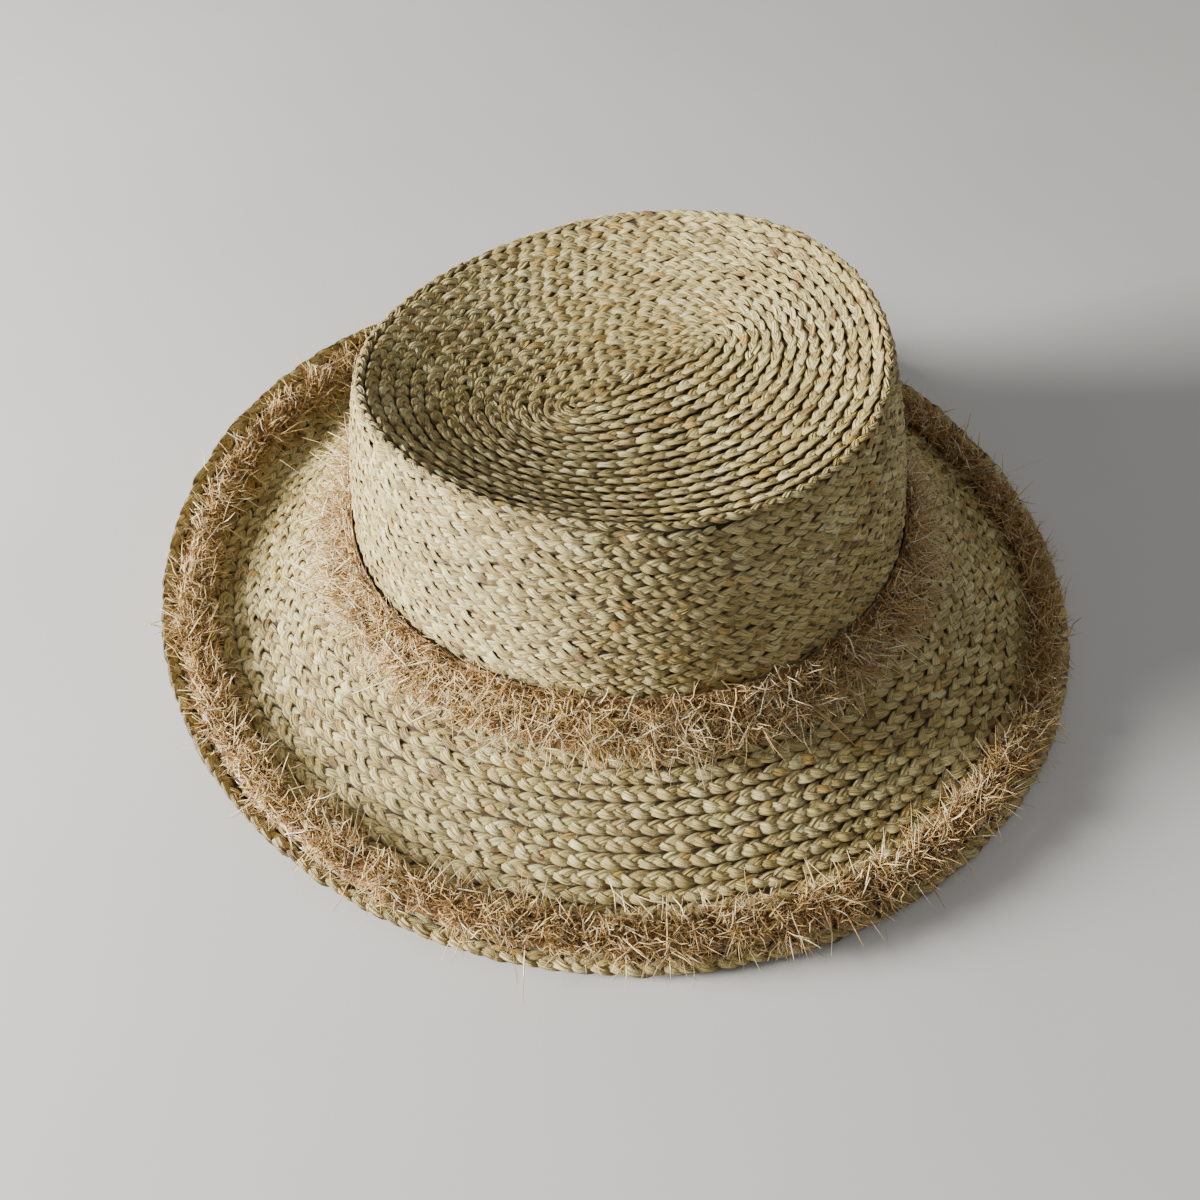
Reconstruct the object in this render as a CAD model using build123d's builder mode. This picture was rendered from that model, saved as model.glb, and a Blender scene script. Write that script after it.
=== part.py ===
"""Straw sun hat: a braided oval crown with a dished tip, a wavy brim and two raffia fringes.

Millimetres. +Z is up, the wearer's front is -Y and the head's long axis lies along Y.
The origin is on the floor the hat stands on, under the middle of the brim's outline.
"""
from build123d import *
import os
from math import atan2, cos, hypot, pi, radians, sin

# Crown outline: half-widths across (X) and along (Y) at the top line of the crown's trim
CROWN_HALF_X = 91.2
CROWN_HALF_Y = 99.3
CROWN_TAPER = 10.9          # how much both half-widths shrink from the trim line to the rim
CROWN_BARREL = 1.5          # outward bulge of the wall halfway up
BASE_CENTRE = (-2.3, 0.4)   # centre of the crown outline at the trim line
RIM_CENTRE = (-4.9, -4.3)   # centre of the crown outline at the rim
TRIM_LINE = 47.1            # height of the crown trim's upper edge
RIM_HEIGHT = 109.9          # mean height of the rim's crest
RIM_TILT = 7.3              # the rim rises by this on one side and falls by it on the other
RIM_TILT_TOWARDS = 62.4     # degrees from +X
RIM_SADDLE = 5.1            # two high and two low places round the rim
RIM_SADDLE_TOWARDS = 119.3
CROWN_FOOT = 31.6           # lowest edge of the wall

# Dished tip
DISH_DEPTH = 13.0
DISH_FLAT = 0.3             # share of the rim's radius that stays flat
DISH_CURVE = 1.8

# Brim outline and its waves
BRIM_HALF_X = 162.3
BRIM_HALF_Y = 170.3
BRIM_ROOT = 34.5            # height of the brim's upper face where it leaves the crown
EDGE_HEIGHT = 11.6          # mean height of the brim's upper face at its edge
EDGE_TILT = 10.5
EDGE_LOW_TOWARDS = 27.8     # degrees from +X of the lowest stretch of the edge
EDGE_SADDLE = 2.2
EDGE_SADDLE_TOWARDS = 23.0
GUTTER = 10.3               # mean depth of the gutter inside the turned-up edge
GUTTER_DEEP_TOWARDS = 190.0

# Straw and sewn-in pieces
STRAW = 2.6                 # thickness of the lapped braid
RIM_PROUD = 0.3             # how far the rim row stands out from the wall
BRAID = 4.8                 # visible width of one braid row
GAP = 0.2                   # clearance between neighbouring pieces
WIRE_RADIUS = 0.6
WIRE_CHANNEL = 2.4
JOINER_RADIUS = 1.1
JOINER_BORE = 0.85
JOINER_LENGTH = 8.0
JOINER_AT = 90.0            # degrees, at the back
WIRE_END_GAP = 1.0          # each end of the wire stops this far short of the joiner's middle
BAND_THICK = 1.0
BAND_GAP = 0.3
BAND_LOW = 33.5
BAND_HIGH = 63.5
LABEL_WIDE = 26.0
LABEL_LOW = 42.0
LABEL_HIGH = 56.0
LABEL_THICK = 0.4
LABEL_GAP = 0.1

# Trims
TAPE_THICK = 0.6
TAPE_GAP = 0.3
CROWN_TAPE_LOW = 40.0
CROWN_TAPE_HIGH = 46.0
FRINGE_FREE = 2.2           # room under each fringe for its tape and stitches
CROWN_FRINGE_MIDDLE = 37.9  # height where the upper fringe ends and the lower one shows
CROWN_FRINGE_TOP_OUT = 3.6
CROWN_FRINGE_MIDDLE_OUT = 9.0
CROWN_FRINGE_FOOT_OUT = 15.0
CROWN_FRINGE_FOOT_TALL = 4.0
BRIM_FRINGE_IN = 15.0       # the edge fringe runs between these distances from the edge
BRIM_FRINGE_OUT = 1.0
BRIM_FRINGE_TALL = 5.5
BRIM_TAPE_IN = 12.0
BRIM_TAPE_OUT = 7.6

# Hand stitches
STITCH_LONG = 3.0
STITCH_THICK = 0.35
BAND_STITCHES = 72
CROWN_TRIM_STITCHES = 48
BRIM_TRIM_STITCHES = 72
LABEL_STITCHES = 4
LABEL_STITCH_SPREAD = 0.8   # share of the label's width that its stitches take
LABEL_STITCH_DOWN = 1.5
BAND_STITCH_UP = 3.0
STITCH_OVER = 1.5           # how far over the straw a stitch through a tape lies

HALF_SECTIONS = 14          # sections in each half of a lofted ring
TIP_POINTS = 36
TIP_RINGS = (0.2, 0.4, 0.6, 0.8)
WIRE_POINTS = 48
DIP_PEAK = 4 / 27           # greatest value of share squared times (1 - share)
RIM_ROW = BRAID - GAP       # depth and width of the row that caps the wall
BRIM_END = BRAID + WIRE_CHANNEL


# ---------------------------------------------------------------- geometry
def oval_radius(half_x, half_y, centre, angle):
    """Distance from the origin to a slightly off-centre oval, in the direction angle."""
    across, along = cos(angle), sin(angle)
    middle = half_x * half_y / hypot(half_y * across, half_x * along)
    return middle + centre[0] * across + centre[1] * along


def edge_height(angle):
    """Height of the brim's upper face at its edge."""
    tilt = EDGE_TILT * cos(angle - radians(EDGE_LOW_TOWARDS))
    saddle = EDGE_SADDLE * cos(2 * (angle - radians(EDGE_SADDLE_TOWARDS)))
    return EDGE_HEIGHT - tilt + saddle


def brim_top(x, y):
    """Height of the brim's upper face: a slope from the crown, a gutter, and a turned-up edge."""
    angle = atan2(y, x)
    root = oval_radius(CROWN_HALF_X, CROWN_HALF_Y, BASE_CENTRE, angle)
    edge = oval_radius(BRIM_HALF_X, BRIM_HALF_Y, (0, 0), angle)
    share = max(-0.25, min(1.25, (hypot(x, y) - root) / (edge - root)))
    gutter = GUTTER * (1 + cos(angle - radians(GUTTER_DEEP_TOWARDS)))
    dip = (share * share if share < 1 else 1) * (1 - share) / DIP_PEAK
    return BRIM_ROOT + (edge_height(angle) - BRIM_ROOT) * share - gutter * dip


def rim_top(x, y):
    """Height of the rim's crest, a tilted and slightly saddle-shaped surface."""
    from_x, from_y = x - RIM_CENTRE[0], y - RIM_CENTRE[1]
    size = (CROWN_HALF_X + CROWN_HALF_Y) / 2 - CROWN_TAPER
    tilt = radians(RIM_TILT_TOWARDS)
    saddle = radians(2 * RIM_SADDLE_TOWARDS)
    slope = RIM_TILT * (from_x * cos(tilt) + from_y * sin(tilt)) / size
    wave = (from_x**2 - from_y**2) * cos(saddle) + 2 * from_x * from_y * sin(saddle)
    return RIM_HEIGHT + slope + RIM_SADDLE * wave / size**2


def dish_top(x, y):
    """Height of the sunken tip: flat in the middle, rising to the rim."""
    from_x, from_y = x - RIM_CENTRE[0], y - RIM_CENTRE[1]
    rim = oval_radius(CROWN_HALF_X - CROWN_TAPER, CROWN_HALF_Y - CROWN_TAPER, (0, 0), atan2(from_y, from_x))
    rise = max(0.0, hypot(from_x, from_y) / rim - DISH_FLAT) / (1 - DISH_FLAT)
    return rim_top(x, y) - DISH_DEPTH * (1 - min(rise, 1.1) ** DISH_CURVE)


def radial_plane(angle):
    """The upright plane through the origin's axis whose first direction points along angle."""
    return Plane(origin=(0, 0, 0), x_dir=(cos(angle), sin(angle), 0), z_dir=(sin(angle), -cos(angle), 0))


def arc_of_sections(section, start, stop, count):
    """A solid lofted round the axis through section(angle), a pair of (radius, height) sides."""
    with BuildPart() as body:
        for i in range(count + 1):
            angle = start + (stop - start) * i / count
            inner, outer = section(angle)
            with BuildSketch(radial_plane(angle)):
                with BuildLine():
                    if len(inner) == 2:
                        Line(*inner)
                        Line(*outer)
                    else:
                        Spline(*inner)
                        Spline(*outer)
                    Line(inner[0], outer[0])
                    Line(inner[-1], outer[-1])
                make_face()
        loft()
    return body.part


def ring_of_sections(section):
    """A closed ring, lofted in two halves that join face to face."""
    with BuildPart() as body:
        add(arc_of_sections(section, 0, pi, HALF_SECTIONS))
        add(arc_of_sections(section, pi, 2 * pi, HALF_SECTIONS))
    return body.part


def crown_oval(level, inset):
    """Half-widths and centre of the crown's outline at a height, inset into the wall."""
    share = (level - TRIM_LINE) / (RIM_HEIGHT - TRIM_LINE)
    shrink = CROWN_TAPER * share - 4 * CROWN_BARREL * share * (1 - share) + inset
    lean = max(share, 0)
    centre_x = BASE_CENTRE[0] + (RIM_CENTRE[0] - BASE_CENTRE[0]) * lean
    centre_y = BASE_CENTRE[1] + (RIM_CENTRE[1] - BASE_CENTRE[1]) * lean
    return CROWN_HALF_X - shrink, CROWN_HALF_Y - shrink, centre_x, centre_y


def crown_radius(angle, level, inset=0):
    """Distance from the origin's axis to the crown's wall, inset into it."""
    half_x, half_y, centre_x, centre_y = crown_oval(level, inset)
    return oval_radius(half_x, half_y, (centre_x, centre_y), angle)


def edge_radius(angle, inset=0):
    """Distance from the origin's axis to a line inset from the brim's edge."""
    return oval_radius(BRIM_HALF_X - inset, BRIM_HALF_Y - inset, (0, 0), angle)


def spaced(low, high, count):
    """count + 1 evenly spaced values from low to high."""
    return [low + (high - low) * i / count for i in range(count + 1)]


def over_brim(angle, radii, lift):
    """Points of a section that follow the brim's upper face, lifted."""
    return [(r, brim_top(r * cos(angle), r * sin(angle)) + lift) for r in radii]


def brim_strip(radius_in, radius_out, low, high, steps=1):
    """A section of something that lies along the brim, between two lifts over its upper face."""
    def section(angle):
        radii = spaced(radius_in(angle), radius_out(angle), steps)
        return over_brim(angle, radii, low), over_brim(angle, radii, high)
    return section


def wall_strip(inset_in, inset_out, low, high, steps=1):
    """A section of something that stands along the crown's wall, between two levels."""
    def section(angle):
        levels = spaced(low, high(angle) if callable(high) else high, steps)
        inner = [(crown_radius(angle, level, inset_in), level) for level in levels]
        outer = [(crown_radius(angle, level, inset_out), level) for level in levels]
        return inner, outer
    return section


def brim_root(angle):
    """Where the brim starts, just outside the wall's foot."""
    return crown_radius(angle, BRIM_ROOT, -GAP)


def brim_end(angle):
    """Where the brim's body ends, inside the wire's channel."""
    return edge_radius(angle, BRIM_END)


def crest(angle):
    """Height of the rim's crest over the wall, in a direction."""
    radius = crown_radius(angle, RIM_HEIGHT)
    return rim_top(radius * cos(angle), radius * sin(angle))


def brim_point(angle, inset, lift):
    """A point over the brim, at a distance from its edge and a height over its upper face."""
    x = (BRIM_HALF_X - inset) * cos(angle)
    y = (BRIM_HALF_Y - inset) * sin(angle)
    return Vector(x, y, brim_top(x, y) + lift)


def stitch_ring(points):
    """Where the stitches of a closed ring lie: one at each point, along the ring."""
    places = []
    for here, ahead in zip(points, points[1:] + points[:1]):
        run = ahead - here
        turn = atan2(run.Y, run.X) * 180 / pi
        pitch = -atan2(run.Z, hypot(run.X, run.Y)) * 180 / pi
        places.append(Location(here, (turn, pitch, 0), Intrinsic.ZYX))
    return places


def crown_ring(count, level, inset):
    """Evenly turned points round the crown's outline."""
    half_x, half_y, centre_x, centre_y = crown_oval(level, inset)
    turns = [2 * pi * i / count for i in range(count)]
    return [Vector(centre_x + half_x * cos(t), centre_y + half_y * sin(t), level) for t in turns]


# ---------------------------------------------------------------- straw body
tip_inset = RIM_ROW + GAP


def tip_point(angle, share):
    """A point on the tip's underside: share 0 is over the centre, 1 is at the rim row."""
    radius = share * crown_radius(angle, crest(angle), tip_inset)
    x, y = radius * cos(angle), radius * sin(angle)
    return Vector(x, y, dish_top(x, y) - STRAW)


def rim_row_section(angle):
    """The row that caps the wall, as deep as it is wide."""
    levels = (crest(angle) - RIM_ROW, crest(angle))
    inner = [(crown_radius(angle, level, RIM_ROW), level) for level in levels]
    return inner, [(crown_radius(angle, level, -RIM_PROUD), level) for level in levels]


tip_turns = [2 * pi * i / TIP_POINTS for i in range(TIP_POINTS)]
with BuildPart() as crown_tip:
    with BuildLine(mode=Mode.PRIVATE) as tip_edge:
        Spline(*[tip_point(turn, 1) for turn in tip_turns], periodic=True)
    tip_inside = [tip_point(turn, share) for share in TIP_RINGS for turn in tip_turns[::2]]
    tip_face = Face.make_surface(tip_edge.edges(), surface_points=tip_inside + [tip_point(0, 0)])
    extrude(to_extrude=tip_face, amount=STRAW, dir=(0, 0, 1))

with BuildPart() as crown_rim_row:
    add(ring_of_sections(rim_row_section))

with BuildPart() as crown_side:
    add(ring_of_sections(wall_strip(STRAW, 0, CROWN_FOOT, lambda angle: crest(angle) - RIM_ROW - GAP, 5)))

with BuildPart() as brim:
    add(ring_of_sections(brim_strip(brim_root, brim_end, -STRAW, 0, 7)))

with BuildPart() as brim_edge_row:
    add(ring_of_sections(brim_strip(lambda a: edge_radius(a, BRAID), edge_radius, -STRAW, 0)))

# ---------------------------------------------------------------- brim wire
wire_inset = BRAID + WIRE_CHANNEL / 2
joiner_turn = radians(JOINER_AT)
wire_gap = WIRE_END_GAP / BRIM_HALF_X
wire_span = (2 * pi - 2 * wire_gap) / WIRE_POINTS
wire_turns = [joiner_turn + wire_gap + wire_span * i for i in range(WIRE_POINTS + 1)]
with BuildPart() as brim_wire:
    with BuildLine() as wire_line:
        Spline(*[brim_point(turn, wire_inset, -STRAW / 2) for turn in wire_turns])
    with BuildSketch(Plane(origin=wire_line.line @ 0, z_dir=wire_line.line % 0)):
        Circle(WIRE_RADIUS)
    sweep()

half_joiner = JOINER_LENGTH / 2 / BRIM_HALF_X
joiner_start = brim_point(joiner_turn - half_joiner, wire_inset, -STRAW / 2)
joiner_run = brim_point(joiner_turn + half_joiner, wire_inset, -STRAW / 2) - joiner_start
with BuildPart() as wire_joiner:
    with BuildSketch(Plane(origin=joiner_start, z_dir=joiner_run)):
        Circle(JOINER_RADIUS)
        Circle(JOINER_BORE, mode=Mode.SUBTRACT)
    extrude(amount=joiner_run.length)

# ---------------------------------------------------------------- inside the crown
band_out = STRAW + BAND_GAP
band_in = band_out + BAND_THICK
with BuildPart() as sweatband:
    add(ring_of_sections(wall_strip(band_in, band_out, BAND_LOW, BAND_HIGH, 3)))

band_stitch_in = band_in + 1.5 * STITCH_THICK
band_stitch_points = crown_ring(BAND_STITCHES, BAND_LOW + BAND_STITCH_UP, band_stitch_in)
with BuildPart() as sweatband_stitches:
    with Locations(stitch_ring(band_stitch_points)):
        Box(STITCH_LONG, STITCH_THICK, STITCH_THICK)

label_out = band_in + LABEL_GAP
label_in = label_out + LABEL_THICK
label_turn = LABEL_WIDE / 2 / CROWN_HALF_Y
label_section = wall_strip(label_in, label_out, LABEL_LOW, LABEL_HIGH, 2)
with BuildPart() as size_label:
    add(arc_of_sections(label_section, pi / 2 - label_turn, pi / 2 + label_turn, 6))

label_stitch_level = LABEL_HIGH - LABEL_STITCH_DOWN
label_places = []
for step in range(LABEL_STITCHES):
    turn = pi / 2 + 2 * LABEL_STITCH_SPREAD * label_turn * (step / (LABEL_STITCHES - 1) - 0.5)
    radius = crown_radius(turn, label_stitch_level, label_in + STITCH_THICK)
    place = Vector(radius * cos(turn), radius * sin(turn), label_stitch_level)
    label_places.append(Location(place, (0, 0, turn * 180 / pi + 90)))
with BuildPart() as label_stitches:
    with Locations(label_places):
        Box(STITCH_LONG, STITCH_THICK, STITCH_THICK)

# ---------------------------------------------------------------- crown trim
with BuildPart() as crown_trim_tape:
    add(ring_of_sections(wall_strip(-TAPE_GAP, -TAPE_GAP - TAPE_THICK, CROWN_TAPE_LOW, CROWN_TAPE_HIGH)))

crown_tape_middle = (CROWN_TAPE_LOW + CROWN_TAPE_HIGH) / 2
with BuildPart() as crown_trim_stitches:
    with Locations(stitch_ring(crown_ring(CROWN_TRIM_STITCHES, crown_tape_middle, -STITCH_OVER))):
        Box(STITCH_LONG, STITCH_THICK, STITCH_THICK)


def upper_fringe_section(angle):
    """The upper fringe stands off the tape and widens downwards."""
    inner, outer = [], []
    low = CROWN_FRINGE_MIDDLE + GAP
    for level, out in ((low, CROWN_FRINGE_MIDDLE_OUT), (TRIM_LINE, CROWN_FRINGE_TOP_OUT)):
        inner.append((crown_radius(angle, level, -FRINGE_FREE), level))
        outer.append((crown_radius(angle, level, -out), level))
    return inner, outer


def lower_fringe_section(angle):
    """The lower fringe spreads on to the brim and rests on it, thinning outwards."""
    near = crown_radius(angle, CROWN_FRINGE_MIDDLE, -FRINGE_FREE)
    foot = crown_radius(angle, CROWN_FRINGE_MIDDLE, -CROWN_FRINGE_FOOT_OUT)
    bottom = over_brim(angle, spaced(near, foot, 3), 2 * GAP)
    tops = spaced(CROWN_FRINGE_MIDDLE, bottom[-1][1] + CROWN_FRINGE_FOOT_TALL, 3)
    return bottom, [(radius, top) for (radius, _), top in zip(bottom, tops)]


with BuildPart() as crown_fringe_upper:
    add(ring_of_sections(upper_fringe_section))

with BuildPart() as crown_fringe_lower:
    add(ring_of_sections(lower_fringe_section))

# ---------------------------------------------------------------- brim trim
def edge_strip(inset_in, inset_out, low, high, steps=1):
    """A section that follows the brim's edge between two insets and two lifts."""
    def radius_in(angle):
        return edge_radius(angle, inset_in)

    def radius_out(angle):
        return edge_radius(angle, inset_out)
    return brim_strip(radius_in, radius_out, low, high, steps)


with BuildPart() as brim_trim_tape:
    add(ring_of_sections(edge_strip(BRIM_TAPE_IN, BRIM_TAPE_OUT, TAPE_GAP, TAPE_GAP + TAPE_THICK)))

brim_tape_middle = (BRIM_TAPE_IN + BRIM_TAPE_OUT) / 2
brim_stitch_turns = [2 * pi * i / BRIM_TRIM_STITCHES for i in range(BRIM_TRIM_STITCHES)]
brim_stitch_points = [brim_point(turn, brim_tape_middle, STITCH_OVER) for turn in brim_stitch_turns]
with BuildPart() as brim_trim_stitches:
    with Locations(stitch_ring(brim_stitch_points)):
        Box(STITCH_LONG, STITCH_THICK, STITCH_THICK)

with BuildPart() as brim_fringe:
    fringe_high = FRINGE_FREE + BRIM_FRINGE_TALL
    add(ring_of_sections(edge_strip(BRIM_FRINGE_IN, BRIM_FRINGE_OUT, FRINGE_FREE, fringe_high, 3)))

# ---------------------------------------------------------------- write every piece
os.makedirs("parts", exist_ok=True)
pieces = {
    "crown_tip": crown_tip,
    "crown_rim_row": crown_rim_row,
    "crown_side": crown_side,
    "brim": brim,
    "brim_edge_row": brim_edge_row,
    "brim_wire": brim_wire,
    "wire_joiner": wire_joiner,
    "sweatband": sweatband,
    "sweatband_stitches": sweatband_stitches,
    "size_label": size_label,
    "label_stitches": label_stitches,
    "crown_trim_tape": crown_trim_tape,
    "crown_trim_stitches": crown_trim_stitches,
    "crown_fringe_upper": crown_fringe_upper,
    "crown_fringe_lower": crown_fringe_lower,
    "brim_trim_tape": brim_trim_tape,
    "brim_trim_stitches": brim_trim_stitches,
    "brim_fringe": brim_fringe,
}
for name, piece in pieces.items():
    piece.part.label = name
    export_step(piece.part, f"parts/{name}.step")
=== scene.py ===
"""Straw sun hat: sewn braid, raffia fringes, sweatband and label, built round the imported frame.

Metres, in the frame's own axes. The straw body is one plaited braid that spirals from a short seam
in the dished tip, over the rim, down the wall and out to the brim's edge. Its rows are counted from
the seam, so a place on the hat is (angle, row), and where that is in space comes from rays cast on
the frame's straw nodes.
"""
import bmesh
import bpy
import math
import numpy as np
from mathutils import Matrix, Vector
from mathutils.bvhtree import BVHTree


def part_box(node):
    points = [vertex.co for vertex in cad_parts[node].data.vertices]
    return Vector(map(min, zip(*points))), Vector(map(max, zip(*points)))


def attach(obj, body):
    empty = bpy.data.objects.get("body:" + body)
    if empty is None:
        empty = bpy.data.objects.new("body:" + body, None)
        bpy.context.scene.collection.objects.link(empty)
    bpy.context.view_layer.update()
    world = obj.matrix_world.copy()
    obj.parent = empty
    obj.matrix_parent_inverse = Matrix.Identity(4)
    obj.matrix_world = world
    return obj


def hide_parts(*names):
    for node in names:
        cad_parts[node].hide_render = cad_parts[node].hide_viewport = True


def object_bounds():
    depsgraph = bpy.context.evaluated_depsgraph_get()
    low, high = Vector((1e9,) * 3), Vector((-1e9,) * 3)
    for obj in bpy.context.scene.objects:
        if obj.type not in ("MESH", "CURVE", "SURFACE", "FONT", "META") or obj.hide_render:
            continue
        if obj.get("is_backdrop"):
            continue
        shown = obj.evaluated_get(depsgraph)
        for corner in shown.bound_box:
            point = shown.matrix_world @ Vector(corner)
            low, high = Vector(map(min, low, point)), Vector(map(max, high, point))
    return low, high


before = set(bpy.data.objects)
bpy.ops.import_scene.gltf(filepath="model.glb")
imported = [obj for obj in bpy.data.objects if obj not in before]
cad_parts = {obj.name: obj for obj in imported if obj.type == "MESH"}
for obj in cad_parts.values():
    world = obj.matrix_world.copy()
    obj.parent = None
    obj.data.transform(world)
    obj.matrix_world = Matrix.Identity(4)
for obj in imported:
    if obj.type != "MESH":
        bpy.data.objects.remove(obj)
cad_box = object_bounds()

MM = 0.001
TURN = 2 * math.pi
UP = np.array([0.0, 0.0, 1.0])

# Rows of braid in each stretch of the spiral, from the seam outwards
TIP_ROWS = 15
RIM_ROWS = 1
WALL_ROWS = 17
BRIM_ROWS = 15
RIM_START = TIP_ROWS
WALL_START = RIM_START + RIM_ROWS
BRIM_START = WALL_START + WALL_ROWS
EDGE_START = BRIM_START + BRIM_ROWS - 1
LAST_ROW = BRIM_START + BRIM_ROWS

# The straw's place in the frame's solids, and the seam in the tip that the spiral starts from
HALF_STRAW = 1.3 * MM
RIM_DEPTH = 4.6 * MM
SEAM_MIDDLE = np.array([-6.7, 2.5]) * MM
SEAM_HALF = 24.7 * MM
SEAM_TURN = math.radians(106)
SEAM_GAP = 0.15             # of a row, between the seam's line and the first row's middle

# Where each turn of the spiral shifts out by one row: a stretch at the far left of the back
SHIFT_START = math.radians(108)
SHIFT_SPAN = math.radians(100)

# Braid of three flat strands
FIRST_TURN = -SHIFT_SPAN / TURN
LAST_TURN = LAST_ROW - 0.2
PLAIT_PERIOD = 16.5 * MM
STEPS_PER_PERIOD = 14
STRAND_SWING = 0.30         # of a row, sideways from the row's middle
STRAND_LIFT = 0.42 * MM     # up and down, where strands cross
STRAND_WIDTH = 0.60         # of a row
STRAND_THICK = 0.95 * MM
BACKING_TOP = 0.28 * MM        # the backing layer of painted shade lies between these depths under the middle
BACKING_FOOT = 0.40 * MM
ROW_LEAN = 0.28             # each row's outer side laps over the next row
EDGE_TAPER = 40 * MM        # of the braid's end, at the brim's edge

# Each stretch of strand takes one of these changes of tint
ODD_TINTS = [0] * 8 + [-0.2, 0.15, 0.38]

# Fabrics inside the crown and under the fringes
BAND_LOW = 33.7 * MM
BAND_HIGH = 63.3 * MM
BAND_THICK = 0.75 * MM
BAND_RADIUS = 95 * MM       # about, where its ends overlap
BAND_LAP = 14 * MM          # the ribbon's ends overlap by this much
BAND_LAP_TURN = math.radians(58)
BAND_LAP_RISE = 0.35 * MM
BAND_SLACK = 0.12 * MM      # how unevenly it lies
BAND_RIB = 1.2 * MM
BAND_RELIEF = 0.07 * MM
LABEL_TALL = 14 * MM
LABEL_THICK = 0.3 * MM
LABEL_RIB = 0.8 * MM
LABEL_RELIEF = 0.02 * MM
TAPE_THICK = 0.5 * MM
TAPE_RIB = 1.3 * MM
TAPE_RELIEF = 0.09 * MM
TAPE_INSET = 0.1 * MM       # its face lies this far inside the tape's solid
TAPE_RIPPLE = 0.1 * MM      # of the crown tape's edges
TAPE_MARGIN = 0.2 * MM      # inside the crown tape's solid, above and below
BRIM_TAPE_IN = 11.9 * MM    # from the brim's edge
BRIM_TAPE_OUT = 7.7 * MM
THREAD_THICK = 0.42 * MM
THREAD_SAG = 0.25 * MM      # a stitch's ends go this far into the cloth
THREAD_STATIONS = 13
THREAD_SIDES = 8

# Fringe strands
RAFFIA_TAPER = (0.9, 1.05, 1.0, 0.8, 0.3)
RAFFIA_NARROW = 0.20 * MM
RAFFIA_WIDE = 0.62 * MM
CLUMP_SPACING = 0.03        # radians round the hat
CLUMP_LEAN = 0.4
MAT_SIDES = 6               # points across a mat's upper face, and as many across its foot
MAT_STEPS = 480             # round the whole hat
MAT_FOOT = 0.3 * MM         # over the straw
FLOOR_GAP = 0.6 * MM        # a strand's middle stays this far over the hat's lowest point

# Grid of places on the hat
GRID_TURNS = 360
GRID_PER_ROW = 8

random = np.random.default_rng(21)


# ---------------------------------------------------------------- reading the frame
def node_tree(*nodes):
    """A tree for casting rays on CAD nodes' meshes."""
    vertices, faces = [], []
    for node in nodes:
        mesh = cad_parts[node].data
        start = len(vertices)
        vertices += [v.co.copy() for v in mesh.vertices]
        faces += [[start + i for i in p.vertices] for p in mesh.polygons]
    return BVHTree.FromPolygons(vertices, faces)


def out_along(angle):
    """The level direction at an angle from +X."""
    return Vector((math.cos(angle), math.sin(angle), 0))


def radius_at(tree, angle, level):
    """Distance from the axis to the outside of a tree's solids, or None."""
    far = out_along(angle) * 0.5
    hit = tree.ray_cast(far + Vector((0, 0, level)), -far)[0]
    return math.hypot(hit.x, hit.y) if hit else None


def height_at(tree, x, y):
    """Height of the upper face of a tree's solids, or None."""
    for nudge in (0, 0.03 * MM, -0.04 * MM):
        hit = tree.ray_cast(Vector((x + nudge, y - nudge / 2, 0.5)), Vector((0, 0, -1)))[0]
        if hit:
            return hit.z
    return None


crown_tree = node_tree("crown_tip", "crown_rim_row", "crown_side")
brim_tree = node_tree("brim", "brim_edge_row")
wall_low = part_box("crown_side")[0].z
wall_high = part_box("crown_rim_row")[1].z
brim_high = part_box("brim")[1].z


def crest_at(angle):
    """Radius of the wall's outside at the rim, and the height of the rim's crest."""
    middle = radius_at(crown_tree, angle, (wall_low + wall_high) / 2)
    tops = [out_along(angle) * radius for radius in np.linspace(middle - 25 * MM, middle, 51)]
    crest = max(height_at(crown_tree, top.x, top.y) or 0 for top in tops)
    return radius_at(crown_tree, angle, crest - 1.5 * MM), crest


def tip_path(angle, rim_radius):
    """Places from the seam to the rim row's inner side."""
    seam = np.array([math.cos(SEAM_TURN), math.sin(SEAM_TURN)]) * SEAM_HALF
    seam = SEAM_MIDDLE + seam * math.cos(angle - SEAM_TURN)
    rim = np.array(out_along(angle)[:2]) * (rim_radius - RIM_DEPTH - 1.2 * MM)
    for share in np.linspace(0, 1, 4 * TIP_ROWS + 1):
        x, y = seam * (1 - share) + rim * share
        yield x, y, height_at(crown_tree, x, y) - HALF_STRAW


def wall_path(angle, top):
    """Places from the rim row's lower side to the crown's foot."""
    for level in np.linspace(top, brim_high - HALF_STRAW, 2 * WALL_ROWS + 1):
        place = out_along(angle) * (radius_at(crown_tree, angle, level) - HALF_STRAW)
        yield place.x, place.y, level


def brim_path(angle, root, edge):
    """Places from the crown's foot to the brim's edge."""
    for share in np.linspace(0, 1, 4 * BRIM_ROWS + 1)[1:]:
        place = out_along(angle) * (root + (edge - root) * share - 0.05 * MM)
        height = height_at(brim_tree, place.x, place.y)
        if height is not None:
            yield place.x, place.y, height - HALF_STRAW


def counted(path, first_row, last_row):
    """Rows of places along a path, even in distance, in front of each place."""
    path = np.array(path)
    far = np.concatenate([[0], np.cumsum(np.linalg.norm(np.diff(path, axis=0), axis=1))])
    return np.column_stack([first_row + far / far[-1] * (last_row - first_row), path])


def smooth(grid, steps, axis, wrap):
    """A grid averaged along one axis."""
    kernel = np.hanning(2 * steps + 3)[1:-1]
    kernel /= kernel.sum()
    mode = "wrap" if wrap else "edge"
    width = [(steps, steps) if a == axis else (0, 0) for a in range(grid.ndim)]
    padded = np.pad(grid, width, mode=mode)
    size = grid.shape[axis]
    return sum(k * np.take(padded, range(i, i + size), axis) for i, k in enumerate(kernel))


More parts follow.
